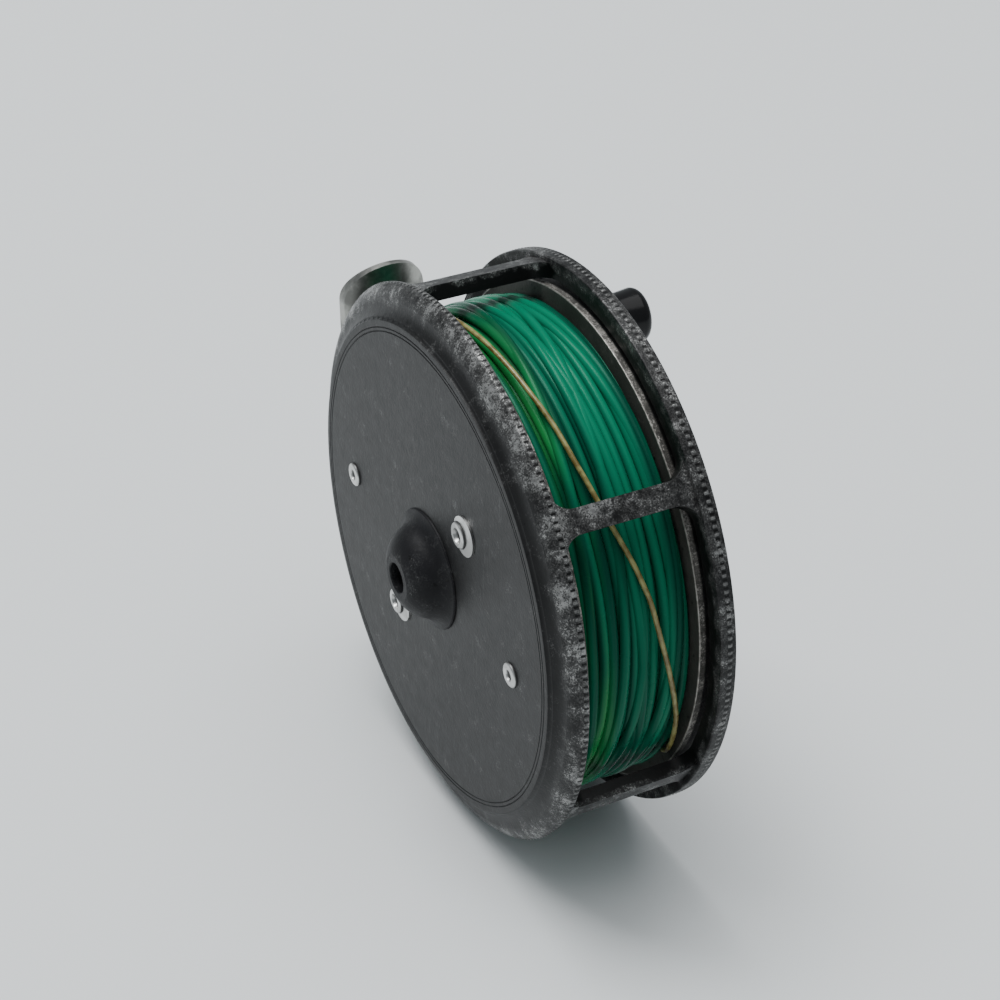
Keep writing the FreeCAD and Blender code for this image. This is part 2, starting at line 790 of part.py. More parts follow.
def check_mechanism():
    paired("pawl_posts", pawl_post, "post_angle", "post_reach")
    post_washers()
    paired("plate_rivets", plate_rivet, "rivet_angle", "rivet_reach")
    paired("spring_blocks", spring_block, "rivet_angle", "rivet_reach")
    paired("pawl_clips", pawl_clip, "post_angle", "post_reach")
    working = VALUES["post_angle"]
    spare = working + 180
    reach = VALUES["post_reach"]
    node(pawl("check_pawl"), "check_pawl", at_reach(working, reach))
    node(pawl("spare_pawl"), "spare_pawl", at_reach(spare, reach, VALUES["spare_swing"]))
    node(leaf_spring("check_spring", -7.0, reach + 2.75), "check_spring", about_spindle(working))
    node(leaf_spring("spare_spring", -14.0, reach + 4.1), "spare_spring", about_spindle(spare))


# --------------------------------------------------------------------------
# Spool
# --------------------------------------------------------------------------
BACK = size("spool_back")
FRONT = size("spool_front")
WALL = size("flange_wall")
FLANGE = size("flange_radius")
HANDLE = at_reach(VALUES["handle_angle"], VALUES["handle_reach"])


def spool_flanges():
    """Plain rear flange, and a drilled front plate whose rim stands up inside the far ring."""
    bush = size("bush_radius") + 0.02
    rear = [
        (BACK, bush),
        (BACK + WALL, bush),
        (BACK + WALL, FLANGE - 0.2),
        (BACK + WALL - 0.2, FLANGE, 0.2, 1),
        (BACK + 0.2, FLANGE),
        (BACK, FLANGE - 0.2, 0.2, 1),
    ]
    node(turned("spool_rear_flange", rear), "spool_rear_flange")
    lip = size("spool_lip")
    front = [
        (FRONT - WALL, bush),
        (FRONT, bush),
        (FRONT, FLANGE - 1.4),
        (FRONT + 0.5, FLANGE - 0.9, 0.5, -1),
        (lip, FLANGE - 0.9),
        (lip, FLANGE - 0.3),
        (lip - 0.3, FLANGE, 0.3, 1),
        (FRONT - WALL + 0.1, FLANGE),
        (FRONT - WALL, FLANGE - 0.1, 0.1, 1),
    ]
    plate = turned("front_plate_blank", front)
    rings = ((31.2, 1.8, 24, 0.0), (22.6, 1.9, 16, 11.25), (17.2, 1.7, 12, 0.0))
    for number, (reach, radius, count, turn) in enumerate(rings):
        angle = math.radians(turn)

        def draw(sketch, reach=reach, radius=radius, angle=angle):
            draw_circle(sketch, reach * math.sin(angle), reach * math.cos(angle), radius)
        pocketed(plate, f"face_holes_{number}", FRONT + 2, 4, draw, count)
    bore = size("pin_radius") - 0.48
    pin_hole = drill("pin_hole", FRONT - 3, 6, bore, VALUES["handle_angle"], VALUES["handle_reach"])
    node(cut("spool_front_plate", plate, pin_hole), "spool_front_plate")


def spool_core():
    """Arbor, hub tube and the two bushes that run on the spindle."""
    left = BACK + WALL
    right = FRONT - WALL
    arbor = size("arbor_radius")
    node(turned("spool_arbor", washer_steps(left, right, arbor - 1.0, arbor)), "spool_arbor")
    hub = size("hub_radius")
    node(turned("spool_hub", washer_steps(left, right, size("bush_radius") + 0.02, hub)), "spool_hub")
    bushes = []
    for name, start, end in (("rear_bush", BACK, BACK + 4.5), ("front_bush", FRONT - 4.5, FRONT)):
        bushes.append(turned(name, washer_steps(start, end, size("bush_bore"), size("bush_radius"))))
    node(group("spool_bushes", bushes), "spool_bushes")


def ratchet_gear():
    """Ratchet gear on the rear flange, one gap facing each pawl."""
    tip = size("gear_tip")
    root = size("gear_root")
    left = BACK - 1.35
    body = turned("gear_blank", washer_steps(left, BACK - 0.01, size("bush_radius") + 0.05, tip))
    half_gap = 1.05

    def gap(sketch):
        draw_outline(sketch, [(-0.2, root), (0.2, root), (half_gap + 0.25, tip + 0.35),
                              (-half_gap - 0.25, tip + 0.35)])
    pocketed(body, "gear_gap", BACK + 1, 4, gap, int(VALUES["gear_teeth"]))
    holes = [drill(f"gear_hole_{turn}", BACK - 2, 3, 0.63, turn, 5.9) for turn in (0, 120, 240)]
    gear = cut("ratchet_gear", body, fuse("gear_holes", holes))
    node(gear, "ratchet_gear", about_spindle(VALUES["post_angle"]))


def gear_rivets():
    """Three flush rivets that hold the ratchet gear."""
    rivets = []
    for turn in (0, 120, 240):
        steps = [(BACK - 1.35, 0), (BACK - 0.03, 0), (BACK - 0.03, 0.6), (BACK - 1.35, 0.6)]
        rivet = turned(f"gear_rivet_{turn}", steps)
        rivet.Placement = at_reach(turn, 5.9)
        rivets.append(rivet)
    node(group("gear_rivets", rivets), "gear_rivets", about_spindle(VALUES["post_angle"]))


def winding():
    """Backing and fly line as plain wound rings between the flanges."""
    left = BACK + WALL + 0.1
    right = FRONT - WALL - 0.1
    backing = size("backing_radius")
    node(turned("backing_line", washer_steps(left, right, size("arbor_radius") + 0.05, backing)),
         "backing_line")
    outer = size("winding_radius")
    line = [
        (left, backing + 0.05),
        (right, backing + 0.05),
        (right, outer - 0.9),
        (right - 0.9, outer, 0.9, 1),
        (left + 0.9, outer),
        (left, outer - 0.9, 0.9, 1),
    ]
    node(turned("fly_line", line), "fly_line")


LEADER_ROUTE = [
    # angle round the spindle, X across the winding
    (8, -7.6), (0, -7.1), (-12, -6.4), (-22, -5.7), (-31, -4.8), (-40, -4.1), (-48, -3.1), (-55, -2.0),
    (-64, -0.2), (-72, 1.2), (-81, 2.2), (-92, 3.8), (-104, 5.6), (-113, 6.4), (-122, 6.8),
]


def leader():
    """Leader that crosses the winding from the back plate side to the handle side."""
    radius = VALUES["leader_radius"]
    reach = VALUES["winding_radius"] + 0.26 + radius
    points = []
    for angle, across in LEADER_ROUTE:
        angle = math.radians(angle)
        points.append(Vector(across, reach * math.sin(angle), reach * math.cos(angle)))
    path = Part.makePolygon(points)
    section = Part.Wire(Part.makeCircle(radius, points[0], points[1] - points[0]))
    mitred = 1
    feature = doc.addObject("Part::Feature", "leader")
    feature.Shape = path.makePipeShell([section], True, False, mitred)
    node(feature, "leader")


# --------------------------------------------------------------------------
# Spool: latch
# --------------------------------------------------------------------------
LEVER_BACK = size("spindle_tip") - 1.7
LEVER_FRONT = size("spindle_tip") - 0.9
COVER_BACK = size("spindle_tip") + 0.2
SCREW_REACH = 5.7


def latch_housing():
    """Cup on the front plate that guides the latch lever, with two screw bosses."""
    radius = size("housing_radius")
    floor = FRONT + 0.4
    cup = turned("housing_cup", [
        (FRONT + 0.01, size("bush_radius") + 0.02),
        (floor, size("bush_radius") + 0.02),
        (floor, radius - 1.6),
        (COVER_BACK, radius - 1.6),
        (COVER_BACK, radius),
        (FRONT + 0.5, radius),
        (FRONT + 0.01, radius + 0.5, 0.55, -1),
    ])
    bosses = [cylinder(f"screw_boss_{side}", floor - 0.1, COVER_BACK - floor + 0.1, 1.5, 0, side * SCREW_REACH)
              for side in (-1, 1)]
    solid = fuse("housing_solid", [cup] + bosses)
    slot = doc.addObject("Part::Box", "lever_slot")
    slot.Length = 0.96
    slot.Width = 6.0
    slot.Height = 5.7
    slot.Placement = Placement(Vector(LEVER_BACK.value - 0.08, 6.5, -2.85), Rotation())
    slot.setExpression("Placement.Base.x", (LEVER_BACK - 0.08).text)
    holes = [cylinder(f"cover_hole_{side}", floor + 0.1, 4, 0.85, 0, side * SCREW_REACH)
             for side in (-1, 1)]
    node(cut("latch_housing", solid, fuse("housing_cuts", [slot] + holes)), "latch_housing",
         about_spindle(VALUES["handle_angle"]))


def latch_cover():
    """Dished cover plate over the latch."""
    radius = size("housing_radius")
    steps = [
        (COVER_BACK + 0.01, 0),
        (COVER_BACK + 0.8, 0),
        (COVER_BACK + 0.8, radius - 0.6),
        (COVER_BACK + 0.2, radius, 0.6, 1),
        (COVER_BACK + 0.01, radius),
    ]
    body = turned("latch_cover_blank", steps)
    holes = [cylinder(f"screw_way_{side}", COVER_BACK - 1, 3, 0.85, 0, side * SCREW_REACH)
             for side in (-1, 1)]
    node(cut("latch_cover", body, fuse("cover_ways", holes)), "latch_cover",
         about_spindle(VALUES["handle_angle"]))


def cover_screws():
    """Two domed slotted screws that hold the cover."""
    screws = []
    for side in (-1, 1):
        face = COVER_BACK + 0.82
        steps = [
            (face - 2.4, 0),
            (face + 0.55, 0),
            (face + 0.3, 1.1, 2.6, 1),
            (face, 1.35, 0.5, 1),
            (face, 0.8),
            (face - 2.4, 0.8),
        ]
        body = turned(f"cover_screw_blank_{side + 1}", steps)
        slot = doc.addObject("Part::Box", f"cover_screw_slot_{side + 1}")
        slot.Length = 1.0
        slot.Width = 3.4
        slot.Height = 0.35
        slot.Placement = Placement(Vector(face.value + 0.25, -1.7, -0.175), Rotation())
        screw = cut(f"cover_screw_{side + 1}", body, slot)
        screw.Placement = Placement(Vector(0, 0, side * SCREW_REACH), Rotation(Vector(1, 0, 0), 35 * side))
        screws.append(screw)
    node(group("cover_screws", screws), "cover_screws", about_spindle(VALUES["handle_angle"]))


def latch_lever():
    """Sliding lever: its round window catches the spindle groove, its tab is pressed inward."""
    travel = size("latch_travel")

    def draw(sketch):
        draw_outline(sketch, [
            (-5.6, -3.6),
            (5.0, -3.6),
            (5.9, -2.7, 0.9, 1),
            (10.4, -2.7),
            (11.4, -1.7, 1.0, 1),
            (11.4, 1.7),
            (10.4, 2.7, 1.0, 1),
            (5.9, 2.7),
            (5.0, 3.6, 0.9, 1),
            (-5.6, 3.6),
        ])
    body = padded("latch_lever", LEVER_BACK, LEVER_FRONT, draw)

    def window(sketch):
        draw_circle(sketch, travel, 0, size("spindle_radius") + 0.2)
    pocketed(body, "lever_window", LEVER_FRONT + 1, 3, window)
    node(body, "latch_lever", about_spindle(VALUES["handle_angle"]))


def latch_spring():
    """Bowed leaf spring between the housing wall and the lever's inner end."""
    thick = 0.22
    half = 3.1
    wall, crown = -6.9, -5.65
    left = LEVER_BACK.value + 0.05
    inner = [Vector(left, wall, -half), Vector(left, crown, 0), Vector(left, wall, half)]
    outer = [point - Vector(0, thick, 0) for point in inner]
    edges = [
        Part.Arc(*inner).toShape(),
        Part.Arc(*outer).toShape(),
        Part.LineSegment(inner[0], outer[0]).toShape(),
        Part.LineSegment(inner[2], outer[2]).toShape(),
    ]
    face = Part.Face(Part.Wire(Part.__sortEdges__(edges)))
    feature = doc.addObject("Part::Feature", "latch_spring")
    feature.Shape = face.extrude(Vector(LEVER_FRONT.value - LEVER_BACK.value - 0.1, 0, 0))
    node(feature, "latch_spring", about_spindle(VALUES["handle_angle"]))


# --------------------------------------------------------------------------
# Handle
# --------------------------------------------------------------------------
def handle_pin():
    """Pin riveted through the front plate, headed inside the knob."""
    radius = size("pin_radius")
    end = size("knob_end")
    steps = [
        (FRONT - WALL - 0.02, 0),
        (end - 1.5, 0),
        (end - 1.5, 2.2),
        (end - 2.2, 2.2),
        (end - 2.2, radius),
        (FRONT + 0.02, radius),
        (FRONT + 0.02, radius - 0.5),
        (FRONT - WALL - 0.02, radius - 0.5),
    ]
    node(turned("handle_pin", steps), "handle_pin", HANDLE)


def handle_plate():
    """Round reinforcing washer under the knob."""
    left = FRONT + 0.03
    bore = size("pin_radius") + 0.02
    steps = [
        (left, bore),
        (left + 0.8, bore),
        (left + 0.8, 4.0),
        (left + 0.4, 4.5, 0.7, 1),
        (left, 4.5),
    ]
    node(turned("handle_plate", steps), "handle_plate", HANDLE)


def handle_knob():
    """Tapered knob that turns on the handle pin, with a plug in its end."""
    bore = size("pin_radius") + 0.05
    radius = size("knob_radius")
    base = FRONT + 1.0
    end = size("knob_end")
    cavity = end - 2.3
    steps = [
        (base, bore),
        (cavity, bore),
        (cavity, 2.4),
        (end - 0.05, 2.4),
        (end, 2.5),
        (end, radius - 1.3),
        (end - 1.3, radius, 1.3, 1),
        (base + 4.0, radius - 0.35, 60, -1),
        (base + 0.5, radius - 0.15),
        (base, radius - 0.65, 0.5, 1),
    ]
    node(turned("handle_knob", steps), "handle_knob", HANDLE)
    plug = [
        (end - 1.35, 0),
        (end + 0.02, 0),
        (end + 0.02, 1.9),
        (end - 0.25, 2.36, 0.6, 1),
        (end - 1.35, 2.36),
    ]
    node(turned("knob_plug", plug), "knob_plug", HANDLE)


# --------------------------------------------------------------------------
# Build, check and write
# --------------------------------------------------------------------------
def check_document():
    """Stop if any object failed or any sub-part's shape is not a valid closed solid."""
    for item in doc.Objects:
        if "Invalid" in item.State or "Error" in item.State:
            raise RuntimeError(f"{item.Name} failed: {item.State}")
    for item in NODES:
        shape = item.Shape
        if shape.isNull() or not shape.isValid() or not shape.Solids:
            raise RuntimeError(f"{item.Label} has no valid shape")
        if any(solid.Volume <= 0 for solid in shape.Solids):
            raise RuntimeError(f"{item.Label} is inside out")


frame_cage()
foot()
foot_screws()
spindle()
spindle_boss()
boss_screw()
check_mechanism()
spool_flanges()
spool_core()
ratchet_gear()
gear_rivets()
winding()
leader()
latch_housing()
latch_cover()
cover_screws()
latch_lever()
latch_spring()
handle_pin()
handle_plate()
handle_knob()
doc.recompute()
check_document()
for item in NODES:
    box = item.Shape.optimalBoundingBox(False)
    print(f"{item.Label:20s} solids {len(item.Shape.Solids)}  volume {item.Shape.Volume:9.1f}"
          f"  x {box.XMin:7.2f} {box.XMax:7.2f}  y {box.YMin:7.2f} {box.YMax:7.2f}"
          f"  z {box.ZMin:7.2f} {box.ZMax:7.2f}")
    item.Shape.exportStep(f"parts/{item.Label}.step")
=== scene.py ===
import json
import math
import random

import bpy
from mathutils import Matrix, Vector


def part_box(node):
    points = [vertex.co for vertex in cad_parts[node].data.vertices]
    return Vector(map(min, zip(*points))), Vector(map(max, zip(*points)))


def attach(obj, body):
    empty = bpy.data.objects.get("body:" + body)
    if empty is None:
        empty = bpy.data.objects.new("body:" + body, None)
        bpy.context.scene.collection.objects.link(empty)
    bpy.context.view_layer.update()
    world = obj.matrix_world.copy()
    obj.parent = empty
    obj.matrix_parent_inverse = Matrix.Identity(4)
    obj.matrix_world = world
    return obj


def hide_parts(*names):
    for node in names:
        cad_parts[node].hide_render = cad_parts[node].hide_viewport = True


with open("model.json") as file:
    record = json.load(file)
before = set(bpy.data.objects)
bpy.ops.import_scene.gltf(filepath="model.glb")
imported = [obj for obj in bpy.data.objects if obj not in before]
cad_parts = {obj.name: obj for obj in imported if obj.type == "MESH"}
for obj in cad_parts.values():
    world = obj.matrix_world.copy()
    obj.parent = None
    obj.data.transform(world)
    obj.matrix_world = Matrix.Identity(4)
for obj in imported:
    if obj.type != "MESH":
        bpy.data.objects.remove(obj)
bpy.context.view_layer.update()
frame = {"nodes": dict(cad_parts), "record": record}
random.seed(7)

# --------------------------------------------------------------------------
# Places worked out from the frame, in metres
# --------------------------------------------------------------------------
SPOOL_LOW, SPOOL_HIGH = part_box("fly_line")
AXIS_Y = (SPOOL_LOW[1] + SPOOL_HIGH[1]) / 2
WINDING_RADIUS = (SPOOL_HIGH[2] - SPOOL_LOW[2]) / 2
WINDING_LEFT = SPOOL_LOW[0]
WINDING_RIGHT = SPOOL_HIGH[0]
CAGE_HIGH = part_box("frame_cage")[1]
RING_RADIUS = CAGE_HIGH[2]
RIM_RADIUS = RING_RADIUS - 0.0003
FRONT_RIM = CAGE_HIGH[0]
BACK_RIM = FRONT_RIM - 0.0218
FLANGE_LOW, FLANGE_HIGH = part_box("spool_front_plate")
FLANGE_FACE = FLANGE_LOW[0]
FLANGE_RADIUS = FLANGE_HIGH[2]
# milled ridges round each rim, and where the two milled bands lie along X
RIDGES = 232
BACK_BAND = (BACK_RIM - 0.0008, BACK_RIM - 0.0001)
FRONT_BAND = (FRONT_RIM - 0.0014, FRONT_RIM - 0.0007)
# radius of the line
STRAND = 0.00074
LINE_TURNS = 11
LINE_CROSSINGS = 6
PATH_SAMPLES = 220
# the winding falls away beside the back plate by this much, over this width
PLATE_SIDE_DROP = 0.0036
PLATE_SIDE_WIDTH = 0.0052
# radius of the leader
LEADER = 0.00036
# (angle round the spindle from up towards the foot, in degrees; X in metres)
LEADER_ROUTE = [
    (8, -0.0066), (0, -0.0061), (-12, -0.0054), (-22, -0.0047), (-31, -0.0038), (-40, -0.0031),
    (-48, -0.0021), (-55, -0.0010), (-64, 0.0008), (-72, 0.0022), (-81, 0.0032), (-92, 0.0048),
    (-104, 0.0066), (-113, 0.0074), (-122, 0.0078),
]


def round_spindle(x, radius, angle):
    """The point at an angle, in radians, round the spindle from up towards the foot."""
    return Vector((x, AXIS_Y + radius * math.sin(angle), radius * math.cos(angle)))


# --------------------------------------------------------------------------
# Camera
# --------------------------------------------------------------------------
def make_camera():
    data = bpy.data.cameras.new("camera")
    data.lens = 80.45
    data.sensor_width = 36
    data.clip_start = 0.01
    camera = bpy.data.objects.new("camera", data)
    bpy.context.scene.collection.objects.link(camera)
    camera.location = (-0.1209, -0.2854, 0.1790)
    forward = Vector((0.3776, 0.7498, -0.5434))
    camera.rotation_euler = forward.to_track_quat("-Z", "Y").to_euler()
    camera.rotation_euler.rotate_axis("Z", math.radians(-0.27))
    bpy.context.scene.camera = camera


# --------------------------------------------------------------------------
# Material graph helper
# --------------------------------------------------------------------------
class Graph:
    """A principled material whose colour, roughness and bump come from noise and position."""

    def __init__(self, name):
        self.material = bpy.data.materials.new(name)
        self.material.use_nodes = True
        self.tree = self.material.node_tree
        self.shader = self.tree.nodes["Principled BSDF"]
        self.place = self.add("ShaderNodeTexCoord").outputs["Object"]

    def add(self, kind, **settings):
        node = self.tree.nodes.new(kind)
        for key, value in settings.items():
            setattr(node, key, value)
        return node

    def feed(self, socket, value):
        """Link a socket, or set a plain number or colour on it."""
        if isinstance(value, bpy.types.NodeSocket):
            self.tree.links.new(value, socket)
        else:
            socket.default_value = value

    def math(self, operation, first, second=0.0, clamp=False):
        node = self.add("ShaderNodeMath", operation=operation, use_clamp=clamp)
        self.feed(node.inputs[0], first)
        self.feed(node.inputs[1], second)
        return node.outputs[0]

    def stretch(self, scale, turn=(0, 0, 0)):
        node = self.add("ShaderNodeMapping")
        self.feed(node.inputs["Vector"], self.place)
        node.inputs["Scale"].default_value = scale
        node.inputs["Rotation"].default_value = turn
        return node.outputs[0]

    def noise(self, scale, detail=3.0, roughness=0.55, vector=None):
        node = self.add("ShaderNodeTexNoise")
        self.feed(node.inputs["Vector"], vector or self.place)
        node.inputs["Scale"].default_value = scale
        node.inputs["Detail"].default_value = detail
        node.inputs["Roughness"].default_value = roughness
        return node.outputs["Fac"]

    def step(self, value, low, high):
        """0 below low, 1 above high, smooth between."""
        node = self.add("ShaderNodeMapRange", interpolation_type="SMOOTHSTEP")
        self.feed(node.inputs["Value"], value)
        node.inputs["From Min"].default_value = low
        node.inputs["From Max"].default_value = high
        return node.outputs["Result"]

    def span(self, value, low, high):
        """Value from 0 to 1 carried to the range low to high."""
        node = self.add("ShaderNodeMapRange")
        self.feed(node.inputs["Value"], value)
        node.inputs["To Min"].default_value = low
        node.inputs["To Max"].default_value = high
        return node.outputs["Result"]

    def blend(self, share, first, second):
        node = self.add("ShaderNodeMix", data_type="RGBA")
        self.feed(node.inputs["Factor"], share)
        for socket, value in ((node.inputs["A"], first), (node.inputs["B"], second)):
            colour_socket = [s for s in node.inputs if s.name == socket.name and s.type == "RGBA"][0]
            self.feed(colour_socket, value)
        return [s for s in node.outputs if s.type == "RGBA"][0]

    def along(self, letter):
        """The position along one axis, X, Y or Z."""
        parts = self.add("ShaderNodeSeparateXYZ")
        self.feed(parts.inputs[0], self.place)
        return parts.outputs[letter]

    def across(self):
        """The position along the spindle."""
        return self.along("X")

    def distance(self, y, z):
        """Distance from the line along X through a point."""
        y_part = self.math("SUBTRACT", self.along("Y"), y)
        z_part = self.math("SUBTRACT", self.along("Z"), z)
        return self.math("SQRT", self.math("ADD", self.math("MULTIPLY", y_part, y_part),
                                           self.math("MULTIPLY", z_part, z_part)))

    def radius(self):
        """Distance from the spindle axis."""
        return self.distance(AXIS_Y, 0.0)

    def invert(self, value):
        return self.math("SUBTRACT", 1.0, value)

    def scale(self, value, factor):
        return self.math("MULTIPLY", value, factor)

    def knurl_wave(self):
        """1 in the pits and -1 on the crests of the milled bands, which run round both rims."""
        y = self.math("SUBTRACT", self.along("Y"), AXIS_Y)
        angle = self.math("ARCTAN2", y, self.along("Z"))
        return self.math("COSINE", self.math("MULTIPLY", angle, RIDGES))

    def band(self, left, right):
        """1 between two places along the spindle."""
        away = self.math("ABSOLUTE", self.math("SUBTRACT", self.across(), (left + right) / 2))
        half = (right - left) / 2
        return self.invert(self.step(away, half * 0.8, half * 1.1))

    def bump(self, height, depth, strength=0.5):
        node = self.add("ShaderNodeBump")
        node.inputs["Strength"].default_value = strength
        node.inputs["Distance"].default_value = depth
        self.feed(node.inputs["Height"], height)
        self.feed(self.shader.inputs["Normal"], node.outputs["Normal"])

    def finish(self, colour, roughness, metallic=0.0, **plain):
        self.feed(self.shader.inputs["Base Color"], colour)
        self.feed(self.shader.inputs["Roughness"], roughness)
        self.feed(self.shader.inputs["Metallic"], metallic)
        for name, value in plain.items():
            self.shader.inputs[name.replace("_", " ")].default_value = value
        return self.material


def rgb(red, green, blue):
    return (red, green, blue, 1.0)


def scratches(graph, turn, amount):
    """Thin pale lines running one way."""
    lines = graph.noise(1.0, 2.0, 0.5, graph.stretch((60, 2600, 90), turn))
    patch = graph.noise(60, 2.0)
    return graph.math("MULTIPLY", graph.step(lines, 0.66, 0.70), graph.step(patch, 0.5, 0.75 - amount))


def scaled(colour, factor):
    """A colour with each channel multiplied."""
    return tuple(channel * factor for channel in colour[:3]) + (1.0,)


def knurl_wear_and_shade(graph, shown, tone, patch, speck):
    """Painted shade on the inner sides of the cage, and milled bands with worn bright crests and pits
    darkened by painted shade.
    """
    ragged = graph.math("ADD", graph.radius(),
                        graph.scale(graph.math("SUBTRACT", patch, 0.5), 0.004))
    # painted shade: the cage's inner sides go near black and lose their wear
    shaded_inside = graph.invert(graph.step(ragged, RIM_RADIUS - 0.0013, RIM_RADIUS - 0.0008))
    past_rim = graph.step(graph.across(), BACK_RIM - 0.0001, BACK_RIM + 0.0002)
    shaded_inside = graph.math("MULTIPLY", shaded_inside, past_rim)
    shown = graph.math("MULTIPLY", shown, graph.invert(graph.scale(shaded_inside, 0.95)))
    tone = graph.blend(shaded_inside, tone, rgb(0.0025, 0.0025, 0.0026))
    bands = graph.math("MAXIMUM", graph.band(*BACK_BAND), graph.band(*FRONT_BAND))
    outer = graph.step(graph.radius(), RIM_RADIUS - 0.0008, RIM_RADIUS - 0.0005)
    bands = graph.math("MULTIPLY", bands, outer)
    wave = graph.knurl_wave()
    crest = graph.math("MULTIPLY", bands, graph.step(graph.scale(wave, -1.0), 0.0, 0.8))
    # painted shade: the pits between the ridges go near black and lose their wear
    pit_shade = graph.math("MULTIPLY", bands, graph.step(wave, 0.2, 0.95))
    shown = graph.math("MAXIMUM", shown, graph.math("MULTIPLY", crest, graph.span(speck, 0.2, 0.9)))
    shown = graph.math("MULTIPLY", shown, graph.invert(pit_shade))
    return shown, graph.blend(pit_shade, tone, rgb(0.001, 0.001, 0.001))


def lip_wear_and_shade(graph, shown, tone, patch):
    """A worn bright line on the corner of the spool's rim, and painted shadow of the ring on the face
    beyond it.
    """
    outside = graph.step(graph.radius(), FLANGE_RADIUS - 0.0003, FLANGE_RADIUS - 0.0001)
    corner = graph.math("MULTIPLY", outside, graph.band(FLANGE_FACE - 0.0002, FLANGE_FACE + 0.00016))
    shown = graph.math("MAXIMUM", shown, graph.math("MULTIPLY", corner, graph.span(patch, 0.7, 1.2)))
    # painted shadow of the ring: the flange's outer face beyond the ring's edge goes near black
    ring_shadow = graph.step(graph.across(), FLANGE_FACE + 0.0007, FLANGE_FACE + 0.0011)
    shown = graph.math("MULTIPLY", shown, graph.invert(ring_shadow))
    return shown, graph.blend(graph.math("MULTIPLY", ring_shadow, outside), tone, rgb(0.002, 0.002, 0.002))


def paint_wear_and_shade(name, paint, alloy, worn_from, worn_to, wear_level, gloss=0.36, shine=0.20,
               knurled=False, lipped=False):
    """Black enamel, rubbed through to the alloy from one radius out to another; the knurled and lipped
    options add painted shade.
    """
    graph = Graph(name)
    edge = graph.step(graph.radius(), worn_from, worn_to)
    patch = graph.noise(300, 5.0, 0.72)
    speck = graph.noise(4200, 3.0, 0.7)
    grain = graph.math("ADD", graph.scale(patch, 0.6), graph.scale(speck, 0.4))
    reach = graph.math("ADD", grain, graph.scale(edge, wear_level))
    if knurled:
        beyond = graph.step(graph.across(), BACK_BAND[1] + 0.0004, BACK_BAND[1] + 0.0020)
        reach = graph.math("SUBTRACT", reach, graph.scale(beyond, 0.045))
    film = graph.scale(graph.step(reach, 0.54, 0.70), 0.30)
    bare = graph.step(reach, 0.655, 0.70)
    wear = graph.math("MAXIMUM", film, bare)
    lines = graph.math("ADD", scratches(graph, (0.6, 0, 0), 0.05), scratches(graph, (2.1, 0, 0), 0.0), True)
    shown = graph.math("MAXIMUM", wear, graph.scale(lines, 0.16))
    tone = graph.blend(graph.step(graph.noise(110, 4.0, 0.6), 0.35, 0.7), paint, scaled(paint, 1.7))
    spots = graph.step(graph.noise(760, 2.0, 0.5), 0.66, 0.72)
    tone = graph.blend(graph.scale(spots, 0.8), tone, rgb(0.003, 0.003, 0.003))
    bare_tone = graph.blend(graph.step(graph.noise(1300, 4.0), 0.35, 0.65), alloy, scaled(alloy, 0.5))
    # the knurled and lipped options paint shade as well as wear
    if knurled:
        shown, tone = knurl_wear_and_shade(graph, shown, tone, patch, speck)
    if lipped:
        shown, tone = lip_wear_and_shade(graph, shown, tone, patch)
    colour = graph.blend(shown, tone, bare_tone)
    rough = graph.math("ADD", graph.span(graph.noise(520, 4.0), gloss, gloss + 0.13),
                       graph.scale(shown, -0.06))
    grit = graph.math("SUBTRACT", graph.noise(2100, 3.0), graph.scale(wear, 0.6))
    graph.bump(grit, 0.00006, 0.6)
    return graph.finish(colour, rough, graph.scale(shown, 0.7), Specular_IOR_Level=shine)


def metal(name, light, dark, rough_low, rough_high):
    """Bare metal with stains and fine grain."""
    graph = Graph(name)
    stain = graph.noise(210, 5.0, 0.6)
    colour = graph.blend(graph.step(stain, 0.38, 0.66), dark, light)
    rough = graph.span(graph.noise(900, 3.0), rough_low, rough_high)
    graph.bump(graph.noise(1440, 3.0), 0.00002, 0.4)
    return graph.finish(colour, rough, 1.0)


def rivet_metal():
    """Turned rivet metal with painted shade in the dimples and a dark ring round each post head."""
    graph = Graph("rivet_metal")
    colour = graph.blend(graph.step(graph.noise(240, 5.0, 0.6), 0.38, 0.66), rgb(0.40, 0.40, 0.39),
                         rgb(0.66, 0.66, 0.65))
    dimple_shade = 0.0
    # node, radius of a head, radius of its dimple, whether the low-Y head is the high one
    for name, head, dimple, swap in (("pawl_posts", 0.0019, 0.0010, 1),
                                     ("plate_rivets", 0.0018, 0.00078, 0)):
        low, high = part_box(name)
        heights = (low[2] + head, high[2] - head)
        for y, z in ((low[1] + head, heights[swap]), (high[1] - head, heights[1 - swap])):
            away = graph.distance(y, z)
            shaded_inside = graph.invert(graph.step(away, dimple - 0.00012, dimple + 0.00006))
            off_edge = graph.math("ABSOLUTE", graph.math("SUBTRACT", away, head + 0.00004))
            collar = graph.invert(graph.step(off_edge, 0.00004, 0.00014))
            dimple_shade = graph.math("MAXIMUM", graph.math("MAXIMUM", shaded_inside, collar), dimple_shade)
    # painted shade: dimples and the ring round each head go near black and less metallic
    colour = graph.blend(graph.scale(dimple_shade, 0.93), colour, rgb(0.006, 0.006, 0.006))
    rough = graph.span(graph.noise(900, 3.0), 0.24, 0.40)
    graph.bump(graph.noise(1400, 3.0), 0.00002, 0.4)
    return graph.finish(colour, rough, graph.invert(graph.scale(dimple_shade, 0.9)))


